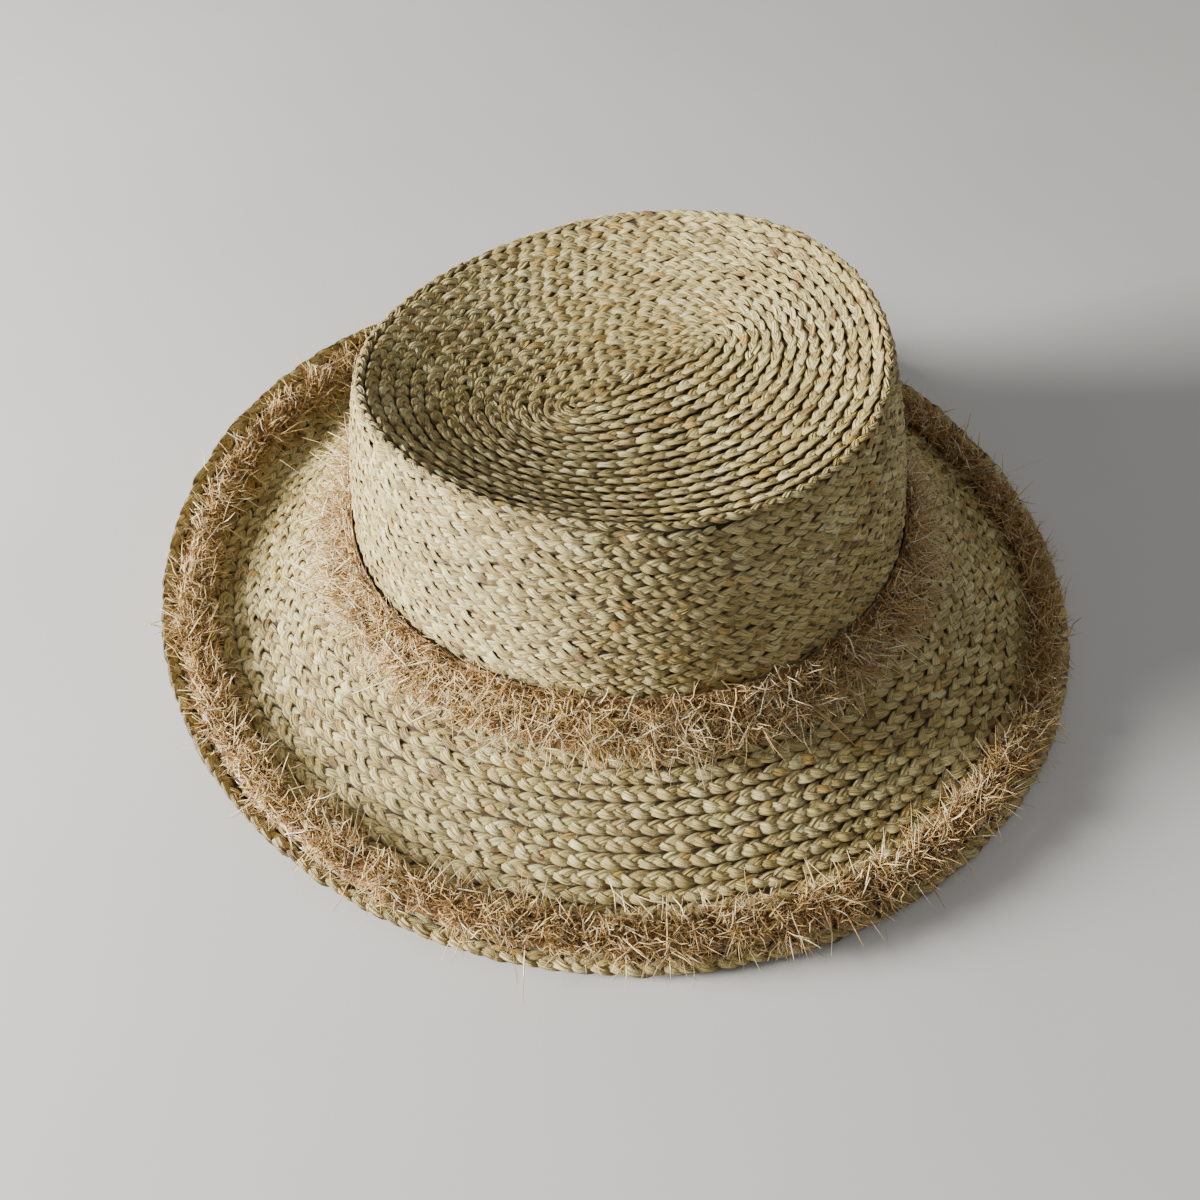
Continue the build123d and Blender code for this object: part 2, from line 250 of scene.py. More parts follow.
def hat_grid():
    """Places of the straw's middle surface, by angle and row."""
    rows = np.arange(LAST_ROW * GRID_PER_ROW + 1) / GRID_PER_ROW
    grid = np.zeros((GRID_TURNS, len(rows), 3))
    for i in range(GRID_TURNS):
        angle = TURN * i / GRID_TURNS
        rim_radius, crest = crest_at(angle)
        on_rim = out_along(angle) * (rim_radius - RIM_DEPTH / 2)
        top = (on_rim.x, on_rim.y, crest - 0.9 * HALF_STRAW)
        wall = list(wall_path(angle, crest - RIM_DEPTH))
        foot = wall[-1]
        edge = radius_at(brim_tree, angle, edge_level(angle))
        path = np.concatenate([
            counted([*tip_path(angle, rim_radius), top], 0, RIM_START + 0.5),
            counted([top, *wall], RIM_START + 0.5, BRIM_START)[1:],
            counted([foot, *brim_path(angle, math.hypot(foot[0], foot[1]), edge)],
                    BRIM_START, LAST_ROW)[1:]])
        for axis in range(3):
            grid[i, :, axis] = np.interp(rows, path[:, 0], path[:, axis + 1])
    grid = smooth(grid, GRID_PER_ROW // 2, 1, False)
    return smooth(grid, 3, 0, True)


def edge_level(angle):
    """A height that a level ray meets the brim's edge row at."""
    axis_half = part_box("brim_edge_row")[1]
    reach = axis_half.x * axis_half.y / math.hypot(
        axis_half.y * math.cos(angle), axis_half.x * math.sin(angle))
    place = out_along(angle) * (reach - 1 * MM)
    return height_at(brim_tree, place.x, place.y) - HALF_STRAW


grid = hat_grid()


def unit(vectors):
    """Vectors of length one."""
    return vectors / np.maximum(np.linalg.norm(vectors, axis=-1, keepdims=True), 1e-12)


def grid_normals():
    """Directions square to the straw's middle surface, on the same grid."""
    round_it = np.roll(grid, -1, 0) - np.roll(grid, 1, 0)
    outward = np.gradient(grid, axis=1)
    return unit(np.cross(outward, round_it))


normals = unit(smooth(smooth(grid_normals(), 2, 1, False), 2, 0, True))
if normals[0, -4, 2] < 0:       # the brim's own face looks up
    normals = -normals


def on_hat(values, angle, row):
    """Grid values at angles and rows, interpolated."""
    across = np.mod(angle, TURN) / TURN * GRID_TURNS
    along = np.clip(row, 0, LAST_ROW - 1e-6) * GRID_PER_ROW
    i, j = np.floor(across).astype(int) % GRID_TURNS, np.floor(along).astype(int)
    u, v = (across - np.floor(across))[..., None], (along - j)[..., None]
    near = values[i, j] * (1 - v) + values[i, j + 1] * v
    far = values[(i + 1) % GRID_TURNS, j] * (1 - v) + values[(i + 1) % GRID_TURNS, j + 1] * v
    return near * (1 - u) + far * u


# ---------------------------------------------------------------- making meshes
def make_piece(name, vertices, faces, materials, marks=None, kinds=None, crease=0):
    """A smooth mesh object. marks are per-vertex colours, kinds are material numbers of faces.
    Edges between vertices whose numbers differ by crease are sharp."""
    mesh = bpy.data.meshes.new(name)
    faces = [np.asarray(f, np.int32) for f in faces if len(f)]
    loops = np.concatenate([f.ravel() for f in faces])
    sizes = np.concatenate([np.full(len(f), f.shape[1], np.int32) for f in faces])
    mesh.vertices.add(len(vertices))
    mesh.vertices.foreach_set("co", np.asarray(vertices, np.float32).ravel())
    mesh.loops.add(len(loops))
    mesh.loops.foreach_set("vertex_index", loops)
    mesh.polygons.add(len(sizes))
    starts = np.concatenate([[0], np.cumsum(sizes)[:-1]])
    mesh.polygons.foreach_set("loop_start", starts.astype(np.int32))
    mesh.polygons.foreach_set("loop_total", sizes)
    mesh.update(calc_edges=True)
    mesh.validate()
    mesh.polygons.foreach_set("use_smooth", np.ones(len(mesh.polygons), bool))
    for material in materials:
        mesh.materials.append(material)
    if kinds is not None:
        mesh.polygons.foreach_set("material_index", np.asarray(kinds, np.int32))
    if crease:
        ends = np.zeros(len(mesh.edges) * 2, np.int32)
        mesh.edges.foreach_get("vertices", ends)
        sharp = mesh.attributes.new("sharp_edge", "BOOLEAN", "EDGE")
        sharp.data.foreach_set("value", abs(ends[0::2] - ends[1::2]) == crease)
    if marks is not None:
        layer = mesh.attributes.new("marks", "FLOAT_COLOR", "POINT")
        layer.data.foreach_set("color", np.asarray(marks, np.float32).ravel())
    piece = bpy.data.objects.new(name, mesh)
    bpy.context.scene.collection.objects.link(piece)
    return piece


def tube_faces(count, sides, start=0):
    """Quads round count sections of sides vertices each, and the two end faces."""
    here = np.arange(count - 1)[:, None] * sides + np.arange(sides)[None, :]
    ahead = np.roll(here, -1, 1)
    quads = np.stack([here, ahead, ahead + sides, here + sides], -1).reshape(-1, 4) + start
    first = np.arange(sides)[::-1][None, :] + start
    last = first[:, ::-1] + (count - 1) * sides
    return quads, np.concatenate([first, last])


class Heap:
    """Vertices, faces and marks that become one piece."""

    def __init__(self):
        self.vertices, self.marks, self.faces, self.kinds, self.size = [], [], [], [], 0

    def put(self, vertices, marks, faces, kind=0):
        """Adds a closed shape, whose faces count from its own first vertex. kind may be one a face."""
        self.vertices.append(vertices)
        self.marks.append(marks)
        for group in faces:
            self.faces.append(group + self.size)
            self.kinds.append(np.broadcast_to(kind, len(group)))
        self.size += len(vertices)

    def piece(self, name, materials, slot, *nodes, crease=0):
        """The finished piece, which stands for CAD nodes."""
        order = np.argsort([f.shape[1] for f in self.faces], kind="stable")
        faces = [self.faces[i] for i in order]
        kinds = np.concatenate([self.kinds[i] for i in order])
        made = make_piece(name, np.concatenate(self.vertices), faces, materials,
                          np.concatenate(self.marks), kinds, crease)
        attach(made, "root")
        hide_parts(*nodes)
        return made


def wander(length, step, size):
    """A smooth random function of distance, as a callable."""
    knots = random.normal(0, size, int(length / step) + 4)
    places = np.arange(len(knots)) * step
    fine = np.linspace(0, places[-1], len(knots) * 6)
    values = np.interp(fine, places, knots)
    values = np.convolve(np.pad(values, 4, mode="edge"), np.hanning(11)[1:-1] / 5, mode="valid")
    return lambda s: np.interp(s, fine, values)


# ---------------------------------------------------------------- materials
def new_material(name):
    """An empty node material with a Principled shader."""
    material = bpy.data.materials.new(name)
    material.use_nodes = True
    nodes, links = material.node_tree.nodes, material.node_tree.links
    return material, nodes, links, nodes["Principled BSDF"]


def ramp(nodes, *stops):
    """A colour ramp through (place, (r, g, b)) stops."""
    node = nodes.new("ShaderNodeValToRGB")
    elements = node.color_ramp.elements
    for _ in stops[2:]:
        elements.new(0.5)
    for element, (place, colour) in zip(elements, stops):
        element.position = place
        element.color = (*colour, 1)
    return node


def noise(nodes, links, vector, scale, detail=3.0, stretch=(1, 1, 1)):
    """A noise texture over a stretched vector."""
    mapping = nodes.new("ShaderNodeMapping")
    mapping.inputs["Scale"].default_value = stretch
    links.new(vector, mapping.inputs["Vector"])
    node = nodes.new("ShaderNodeTexNoise")
    node.inputs["Scale"].default_value = scale
    node.inputs["Detail"].default_value = detail
    links.new(mapping.outputs["Vector"], node.inputs["Vector"])
    return node.outputs["Fac"]


def mixed(nodes, links, kind, factor, first, second):
    """A colour mix node's result. factor is a number or a socket."""
    node = nodes.new("ShaderNodeMix")
    node.data_type = "RGBA"
    node.blend_type = kind
    for socket, value in (("Factor", factor), ("A", first), ("B", second)):
        target = next(i for i in node.inputs if i.name == socket and i.enabled)
        if isinstance(value, (int, float, tuple)):
            target.default_value = value
        else:
            links.new(value, target)
    return next(o for o in node.outputs if o.enabled)


def add_bump(nodes, links, shader, height, distance, strength=1.0):
    """Fine relief from a height."""
    bump = nodes.new("ShaderNodeBump")
    bump.inputs["Distance"].default_value = distance
    bump.inputs["Strength"].default_value = strength
    links.new(height, bump.inputs["Height"])
    links.new(bump.outputs["Normal"], shader.inputs["Normal"])


def marks_of(nodes, links):
    """The marks of a mesh: the node, its vector and its three colour parts."""
    marks = nodes.new("ShaderNodeAttribute")
    marks.attribute_name = "marks"
    parts = nodes.new("ShaderNodeSeparateColor")
    links.new(marks.outputs["Color"], parts.inputs["Color"])
    return marks, marks.outputs["Vector"], parts.outputs


def straw_material():
    """Pale dry straw, with painted shade along each strand's edges and where it tucks under, and fibre
    streaks that are partly painted highlight. Marks: a strand's tint, its distance along and across, and in
    alpha its height.
    """
    material, nodes, links, shader = new_material("straw")
    marks, vector, parts = marks_of(nodes, links)
    tint = ramp(nodes, (0.0, (0.26, 0.165, 0.055)), (0.22, (0.43, 0.335, 0.12)), (0.5, (0.61, 0.515, 0.225)),
                (0.78, (0.78, 0.71, 0.39)), (0.94, (0.70, 0.57, 0.22)), (1.0, (0.56, 0.39, 0.12)))
    links.new(parts["Red"], tint.inputs["Fac"])
    fibres = noise(nodes, links, vector, 1.0, 6.0, (9.0, 7.0, 13.0))
    # Fibre streaks: partly the straw's own grain, partly painted highlight on the bump's ridges and painted
    # shade in its grooves, as the same noise drives the bump
    streak = ramp(nodes, (0.36, (0.24, 0.17, 0.09)), (0.49, (0.80, 0.76, 0.66)), (0.60, (1.0, 1.0, 1.0)))
    links.new(fibres, streak.inputs["Fac"])
    colour = mixed(nodes, links, "MULTIPLY", 0.85, tint.outputs["Color"], streak.outputs["Color"])
    # Painted shade along both edges of each strand, where it meets its neighbours
    edge = ramp(nodes, (0.0, (0.24, 0.17, 0.09)), (0.20, (1.0, 1.0, 1.0)),
                (0.84, (1.0, 1.0, 1.0)), (1.0, (0.24, 0.17, 0.09)))
    links.new(parts["Blue"], edge.inputs["Fac"])
    colour = mixed(nodes, links, "MULTIPLY", 0.85, colour, edge.outputs["Color"])
    # Painted shade where a strand runs low and tucks under the crossing strand
    tuck_shade = ramp(nodes, (0.05, (0.22, 0.155, 0.08)), (0.50, (1.0, 1.0, 1.0)))
    links.new(marks.outputs["Alpha"], tuck_shade.inputs["Fac"])
    colour = mixed(nodes, links, "MULTIPLY", 0.9, colour, tuck_shade.outputs["Color"])
    place = nodes.new("ShaderNodeTexCoord").outputs["Object"]
    patches = ramp(nodes, (0.35, (0.86, 0.82, 0.70)), (0.65, (1.0, 1.0, 1.0)))
    links.new(noise(nodes, links, place, 28.0, 2.0), patches.inputs["Fac"])
    colour = mixed(nodes, links, "MULTIPLY", 0.8, colour, patches.outputs["Color"])
    links.new(colour, shader.inputs["Base Color"])
    shine = ramp(nodes, (0.3, (0.60, 0.60, 0.60)), (0.7, (0.40, 0.40, 0.40)))
    links.new(fibres, shine.inputs["Fac"])
    links.new(shine.outputs["Color"], shader.inputs["Roughness"])
    shader.inputs["Specular IOR Level"].default_value = 0.6
    add_bump(nodes, links, shader, fibres, 0.8 * MM)
    return material


def painted_shade_material(name, low, high):
    """Painted shade: a plain layer of dark straw colour that shows in the gaps between strands."""
    material, nodes, links, shader = new_material(name)
    place = nodes.new("ShaderNodeTexCoord").outputs["Object"]
    grain = noise(nodes, links, place, 900.0, 3.0)
    tint = ramp(nodes, (0.3, low), (0.7, high))
    links.new(grain, tint.inputs["Fac"])
    links.new(tint.outputs["Color"], shader.inputs["Base Color"])
    shader.inputs["Roughness"].default_value = 0.9
    add_bump(nodes, links, shader, grain, 0.2 * MM)
    return material


def raffia_material():
    """Shredded tan raffia, with painted shade towards the roots. Marks: red is a strand's tint, green runs
    from root to tip.
    """
    material, nodes, links, shader = new_material("raffia")
    _, vector, parts = marks_of(nodes, links)
    tint = ramp(nodes, (0.0, (0.17, 0.075, 0.022)), (0.22, (0.42, 0.235, 0.070)), (0.5, (0.66, 0.44, 0.165)),
                (0.75, (0.86, 0.68, 0.36)), (1.0, (0.97, 0.90, 0.66)))
    links.new(parts["Red"], tint.inputs["Fac"])
    # Painted shade towards the roots, where the strands crowd over each other
    root = ramp(nodes, (0.0, (0.40, 0.28, 0.20)), (0.5, (1.0, 1.0, 1.0)))
    links.new(parts["Green"], root.inputs["Fac"])
    colour = mixed(nodes, links, "MULTIPLY", 1.0, tint.outputs["Color"], root.outputs["Color"])
    fibres = noise(nodes, links, vector, 1.0, 3.0, (40.0, 3.0, 5.0))
    streak = ramp(nodes, (0.35, (0.74, 0.66, 0.58)), (0.6, (1.0, 1.0, 1.0)))
    links.new(fibres, streak.inputs["Fac"])
    colour = mixed(nodes, links, "MULTIPLY", 0.8, colour, streak.outputs["Color"])
    links.new(colour, shader.inputs["Base Color"])
    shader.inputs["Roughness"].default_value = 0.45
    shader.inputs["Specular IOR Level"].default_value = 0.6
    add_bump(nodes, links, shader, fibres, 0.05 * MM)
    return material


def woven_material(name, low, high, scale, relief, roughness=0.85):
    """A woven or spun material between two colours, with painted shade between ribs. Marks: red is 1 on a
    rib, blue runs across.
    """
    material, nodes, links, shader = new_material(name)
    _, _, parts = marks_of(nodes, links)
    place = nodes.new("ShaderNodeTexCoord").outputs["Object"]
    grain = noise(nodes, links, place, scale, 4.0)
    tint = ramp(nodes, (0.35, low), (0.65, high))
    links.new(grain, tint.inputs["Fac"])
    # Painted shade in the grooves between ribs, where the relief is low; on thread, whose red is random, it
    # varies the tone instead
    rib = ramp(nodes, (0.0, (0.62, 0.60, 0.56)), (0.6, (1.0, 1.0, 1.0)))
    links.new(parts["Red"], rib.inputs["Fac"])
    colour = mixed(nodes, links, "MULTIPLY", 0.7, tint.outputs["Color"], rib.outputs["Color"])
    selvedge = ramp(nodes, (0.02, (0.80, 0.78, 0.74)), (0.06, (1.0, 1.0, 1.0)), (0.94, (1.0, 1.0, 1.0)),
                    (0.98, (0.80, 0.78, 0.74)))
    links.new(parts["Blue"], selvedge.inputs["Fac"])
    colour = mixed(nodes, links, "MULTIPLY", 0.8, colour, selvedge.outputs["Color"])
    links.new(colour, shader.inputs["Base Color"])
    shader.inputs["Roughness"].default_value = roughness
    shader.inputs["Sheen Weight"].default_value = 0.2
    add_bump(nodes, links, shader, grain, relief)
    return material


def steel_material():
    """Drawn steel with fine scratches."""
    material, nodes, links, shader = new_material("drawn_steel")
    place = nodes.new("ShaderNodeTexCoord").outputs["Object"]
    grain = noise(nodes, links, place, 700.0, 2.0, (1, 1, 8))
    tint = ramp(nodes, (0.3, (0.36, 0.36, 0.35)), (0.7, (0.55, 0.55, 0.53)))
    links.new(grain, tint.inputs["Fac"])
    links.new(tint.outputs["Color"], shader.inputs["Base Color"])
    shader.inputs["Metallic"].default_value = 1.0
    shader.inputs["Roughness"].default_value = 0.35
    add_bump(nodes, links, shader, grain, 0.02 * MM)
    return material


def floor_material():
    """A pale matt floor with a faint mottle."""
    material, nodes, links, shader = new_material("pale_floor")
    place = nodes.new("ShaderNodeTexCoord").outputs["Object"]
    tint = ramp(nodes, (0.3, (0.50, 0.49, 0.475)), (0.7, (0.54, 0.53, 0.515)))
    links.new(noise(nodes, links, place, 5.0, 4.0), tint.inputs["Fac"])
    links.new(tint.outputs["Color"], shader.inputs["Base Color"])
    shader.inputs["Roughness"].default_value = 0.85
    return material


straw = straw_material()
# Painted shade for the backing layer: near black where it shows in the gaps between strands, and a darker
# straw tone on its lower side
straw_gap_shade = painted_shade_material("straw_gap_shade", (0.018, 0.011, 0.004), (0.060, 0.040, 0.016))
straw_under_shade = painted_shade_material("straw_under_shade", (0.26, 0.20, 0.09), (0.44, 0.36, 0.17))
raffia = raffia_material()
ribbon = woven_material("ribbon", (0.62, 0.57, 0.47), (0.76, 0.72, 0.63), 1500.0, 0.05 * MM)
tape_cloth = woven_material("tape_cloth", (0.26, 0.16, 0.08), (0.42, 0.28, 0.15), 1400.0, 0.08 * MM)
thread = woven_material("thread", (0.52, 0.45, 0.30), (0.70, 0.63, 0.47), 2500.0, 0.04 * MM, 0.7)
label_cloth = woven_material("label_cloth", (0.74, 0.73, 0.69), (0.86, 0.85, 0.82), 1800.0, 0.04 * MM)
steel = steel_material()


# ---------------------------------------------------------------- straw body
def shift(turn):
    """How far a turn has moved out by a row: none till its last stretch."""
    share = np.clip((turn - (TURN - SHIFT_SPAN)) / SHIFT_SPAN, 0, 1)
    return share * share * (3 - 2 * share)


def spiral():
    """Turns, angles, rows and distances along the whole braid's middle, at even steps."""
    turns = np.linspace(FIRST_TURN, LAST_TURN, int((LAST_TURN - FIRST_TURN) * 2400))
    rows = np.floor(turns) + 0.5 + shift(np.mod(turns, 1) * TURN)
    rows = np.maximum(rows, SEAM_GAP)
    places = on_hat(grid, turns * TURN + SHIFT_START + SHIFT_SPAN, rows)
    far = np.concatenate([[0], np.cumsum(np.linalg.norm(np.diff(places, axis=0), axis=1))])
    even = np.linspace(0, far[-1], int(far[-1] / PLAIT_PERIOD * STEPS_PER_PERIOD))
    turns = np.interp(even, far, turns)
    rows = np.interp(even, far, rows)
    return turns, turns * TURN + SHIFT_START + SHIFT_SPAN, rows, even


# A strand's section, a folded splint, in halves of its width and thickness
SECTION = np.array([(-1, 0.0), (-0.72, 0.74), (-0.28, 1.05), (0.08, 0.66), (0.5, 1.0), (1, 0.0),
                    (0.5, -0.8), (-0.5, -0.8)])


def placed(middle, across, top, ring):
    """Vertices of sections that stand on a line: ring is each section in its own two directions."""
    sideways = across[..., None, :] * ring[..., 0, None]
    upright = top[..., None, :] * ring[..., 1, None]
    return middle[..., None, :] + sideways + upright


def strand(angles, rows, far, phase):
    """Vertices and marks of one of the plait's strands, from end to end of the braid."""
    length = far[-1] + 0.1
    count, sides = len(far), len(SECTION)
    sway, swell = wander(length, 9 * MM, 0.05), wander(length, 6 * MM, 0.15)
    bob, drift = wander(length, 8 * MM, 0.15 * MM), wander(length, 40 * MM, 0.5)
    turn = TURN * far / PLAIT_PERIOD + drift(far) * 0.5 + phase
    side = STRAND_SWING * np.sin(turn) + sway(far)
    row_wide = np.linalg.norm(on_hat(grid, angles, rows + 0.5) - on_hat(grid, angles, rows - 0.5), axis=1)
    row_wide = np.clip(row_wide, 2.5 * MM, 5.6 * MM)
    fade = np.clip((far[-1] - far) / EDGE_TAPER, 0.05, 1)
    place_rows = np.clip(rows + side * fade, 0, LAST_ROW)
    normal = unit(on_hat(normals, angles, place_rows))
    rise = STRAND_LIFT * np.sin(2 * turn) + ROW_LEAN * side * row_wide + bob(far)
    middle = on_hat(grid, angles, place_rows) + normal * rise[:, None]
    ahead = unit(np.gradient(middle, axis=0))
    across = unit(np.cross(normal, ahead))
    top = unit(np.cross(ahead, across) + across * (-ROW_LEAN))
    wide = STRAND_WIDTH / 2 * row_wide * (1 + swell(far)) * (0.94 + 0.10 * np.cos(2 * turn)) * fade
    thick = STRAND_THICK / 2 * (1 + 0.6 * swell(far))
    creases = np.stack([[wander(length, 5 * MM, 0.13)(far) for _ in range(sides)],
                        [wander(length, 5 * MM, 0.20)(far) for _ in range(sides)]], -1).transpose(1, 0, 2)
    ring = (SECTION[None, :, :] + creases) * np.stack([wide, thick], -1)[:, None, :]
    vertices = placed(middle, across, top, ring)
    stretch = np.floor(turn / math.pi + 0.5).astype(int)
    stretch -= stretch.min()
    odd = random.choice(ODD_TINTS, stretch.max() + 1)
    tints = np.clip(random.normal(0.52, 0.16, stretch.max() + 1) + odd, 0, 1)
    marks = np.ones((count, sides, 4))
    marks[:, :, 0] = tints[stretch][:, None]
    marks[:, :, 1] = ((far / (30 * MM) + random.uniform(0, 1)) % 1)[:, None]
    marks[:, :, 2] = SECTION[None, :, 0] * 0.5 + 0.5
    # alpha: how high each side of the strand rides at the crossings; the straw paints shade where it is low
    facing = np.where(SECTION[:, 1] < 0, -1, 1)
    marks[:, :, 3] = 0.5 + 0.5 * np.sin(2 * turn)[:, None] * facing[None, :]
    return vertices, marks


def ring_quads(count, sides):
    """Quads of a closed ring of count loops, each of sides vertices."""
    here = np.arange(count)[:, None] * sides + np.arange(sides)[None, :]
    ahead = np.roll(here, -1, 0)
    return np.stack([here, ahead, np.roll(ahead, -1, 1), np.roll(here, -1, 1)], -1).reshape(-1, 4)


def backing(heap, first_row, last_row):
    """A thin closed layer inside the straw, of painted shade: it shows dark in the gaps from above, and as
    shaded straw from below.
    """
    rows = np.linspace(first_row, last_row, int((last_row - first_row) * 2) + 1)
    angles = np.arange(0, GRID_TURNS, 2) * TURN / GRID_TURNS
    mesh_angles, mesh_rows = np.meshgrid(angles, rows, indexing="ij")
    middle = on_hat(grid, mesh_angles, mesh_rows)
    normal = unit(on_hat(normals, mesh_angles, mesh_rows))
    loop = np.concatenate([middle - normal * BACKING_TOP, (middle - normal * BACKING_FOOT)[:, ::-1]], 1)
    count, sides = loop.shape[:2]
    # Painted shade: the upper side takes the dark gap shade, the lower side the shaded straw tone
    below = np.tile(np.arange(sides) >= sides // 2, count)
    heap.put(loop.reshape(-1, 3), np.full((count * sides, 4), 0.5), [ring_quads(count, sides)], 1 + below)


def straw_body():
    """The whole spiral, in pieces that each stand for a CAD node or a part of one."""
    turns, angles, rows, far = spiral()
    strands = [strand(angles, rows, far, TURN * k / 3) for k in range(3)]

    def piece(name, node, first, last):
        heap = Heap()
        stretch = slice(np.searchsorted(turns, first), np.searchsorted(turns, last) + 1)
        for vertices, marks in strands:
            faces = tube_faces(*vertices[stretch].shape[:2])
            heap.put(vertices[stretch].reshape(-1, 3), marks[stretch].reshape(-1, 4), faces)
        backing(heap, max(first, 0), min(last, LAST_ROW - 0.3))
        heap.piece(name, [straw, straw_gap_shade, straw_under_shade], "straw", node, crease=len(SECTION))

    piece("tip_braid_inner", "crown_tip", FIRST_TURN, 10)
    piece("tip_braid_outer", "crown_tip", 10, RIM_START)
    piece("rim_braid", "crown_rim_row", RIM_START, WALL_START)
    piece("side_braid_upper", "crown_side", WALL_START, WALL_START + 6)
    piece("side_braid_middle", "crown_side", WALL_START + 6, WALL_START + 12)
    piece("side_braid_lower", "crown_side", WALL_START + 12, BRIM_START)
    piece("brim_braid_inner", "brim", BRIM_START, BRIM_START + 5)
    piece("brim_braid_middle", "brim", BRIM_START + 5, BRIM_START + 10)
    piece("brim_braid_outer", "brim", BRIM_START + 10, EDGE_START)
    piece("edge_braid", "brim_edge_row", EDGE_START, LAST_TURN)


# ---------------------------------------------------------------- ribbon, tapes, label and thread
def cloth_body(name, node, slot, material, face, out, thick, rib, relief, ring):
    """A thin ribbed sheet. face holds places by column and station, out the shown side's directions."""
    far = np.cumsum(np.linalg.norm(np.diff(face, axis=0, prepend=face[:1]), axis=2).mean(1))
    wave = np.cos(TURN * far / rib)[:, None, None] * relief
    stations = face.shape[1]
    edge = np.ones(stations)
    edge[[0, -1]] = 0.35
    edge[[1, -2]] = 1.15
    shown = face + out * wave * edge[None, :, None]
    back = face - out * thick * edge[None, :, None]
    loop = np.concatenate([shown, back[:, ::-1]], 1)
    count, sides = loop.shape[:2]
    marks = np.ones((count, sides, 4))
    # red: 1 where the relief stands highest on a rib; the woven materials paint shade where it is low
    marks[..., 0] = (0.5 + 0.5 * np.cos(TURN * far / rib))[:, None]
    marks[..., 1] = (far / (20 * MM) % 1)[:, None]
    marks[..., 2] = np.concatenate([np.linspace(0, 1, stations), np.linspace(1, 0, stations)])[None, :]
    heap = Heap()
    faces = [ring_quads(count, sides)] if ring else tube_faces(count, sides)
    heap.put(loop.reshape(-1, 3), marks.reshape(-1, 4), faces)
    return heap.piece(name, [material], slot, node)


def inside_radius(tree, angle, level):
    """Distance from the axis to the inside of a tree's solids."""
    hit = tree.ray_cast(Vector((0, 0, level)), out_along(angle))[0]
    return math.hypot(hit.x, hit.y)


STEPS = [TURN * i / GRID_TURNS for i in range(GRID_TURNS)]


def around(radii, columns):
    """Even columns round the hat from numbers at GRID_TURNS angles, their angles and directions."""
    angles = np.arange(columns) * TURN / columns
    known = np.arange(GRID_TURNS + 1) * TURN / GRID_TURNS
    radii = smooth(np.array(radii), 3, 0, True)
    radii = np.concatenate([radii, radii[:1]])
    radii = np.stack([np.interp(angles, known, radii[:, k]) for k in range(radii.shape[1])], -1)
    directions = np.stack([np.cos(angles), np.sin(angles), 0 * angles], -1)[:, None, :]
    return radii, angles, directions


def sweatband():
    """Ribbed ribbon inside the crown's foot, whose ends overlap beside the label."""
    tree = node_tree("sweatband")
    levels = np.linspace(BAND_LOW, BAND_HIGH, 13)
    radii = [[inside_radius(tree, angle, level) for level in levels] for angle in STEPS]
    radii, angles, directions = around(radii, 2400)
    lap = np.clip(1.6 - abs(angles - BAND_LAP_TURN) * BAND_RADIUS / (BAND_LAP / 2), 0, 0.6) / 0.6
    slack = BAND_SLACK * (1 + np.sin(angles * 7 + 1.0) * np.sin(angles * 3))
    radii = radii + (0.05 * MM + slack - BAND_LAP_RISE * lap)[:, None]
    face = directions * radii[..., None] + UP * levels[None, :, None]
    piece = cloth_body("sweatband_ribbon", "sweatband", "band", ribbon, face, -directions,
                       BAND_THICK, BAND_RIB, BAND_RELIEF, True)


def crown_tape():
    """The heading tape under the crown's fringe."""
    tree = node_tree("crown_trim_tape")
    low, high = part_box("crown_trim_tape")
    levels = np.linspace(low.z + TAPE_MARGIN, high.z - TAPE_MARGIN, 7)
    radii = [[radius_at(tree, angle, level) for level in levels] for angle in STEPS]
    radii, angles, directions = around(radii, 1800)
    face = directions * (radii[..., None] - TAPE_INSET) + UP * levels[None, :, None]
    face += UP * np.sin(angles * 300)[:, None, None] * TAPE_RIPPLE
    cloth_body("crown_trim_tape_woven", "crown_trim_tape", "tape", tape_cloth, face,
               directions, TAPE_THICK, TAPE_RIB, TAPE_RELIEF, True)


def brim_tape():
    """The heading tape under the edge fringe."""
    tree = node_tree("brim_trim_tape")
    insets = np.linspace(BRIM_TAPE_IN, BRIM_TAPE_OUT, 6)
    edges_and_tops = []
    for angle in STEPS:
        edge = radius_at(brim_tree, angle, edge_level(angle))
        places = [out_along(angle) * (edge - inset) for inset in insets]
        tops = [height_at(tree, place.x, place.y) for place in places]
        known = [i for i, top in enumerate(tops) if top is not None]
        tops = np.interp(range(len(tops)), known, [tops[i] for i in known])
        edges_and_tops.append([edge, *tops])
    edges_and_tops, _, directions = around(edges_and_tops, 2700)
    edges, tops = edges_and_tops[:, :1], edges_and_tops[:, 1:]
    face = directions * (edges - insets[None, :])[..., None] + UP * (tops[..., None] - TAPE_INSET)
    across = face[:, -1] - face[:, 0]
    out = unit(np.cross(np.gradient(face[:, 0], axis=0), across))
    out *= np.sign(out[:, 2:])
    cloth_body("brim_trim_tape_woven", "brim_trim_tape", "tape", tape_cloth, face,
               out[:, None, :], TAPE_THICK, TAPE_RIB, TAPE_RELIEF, True)


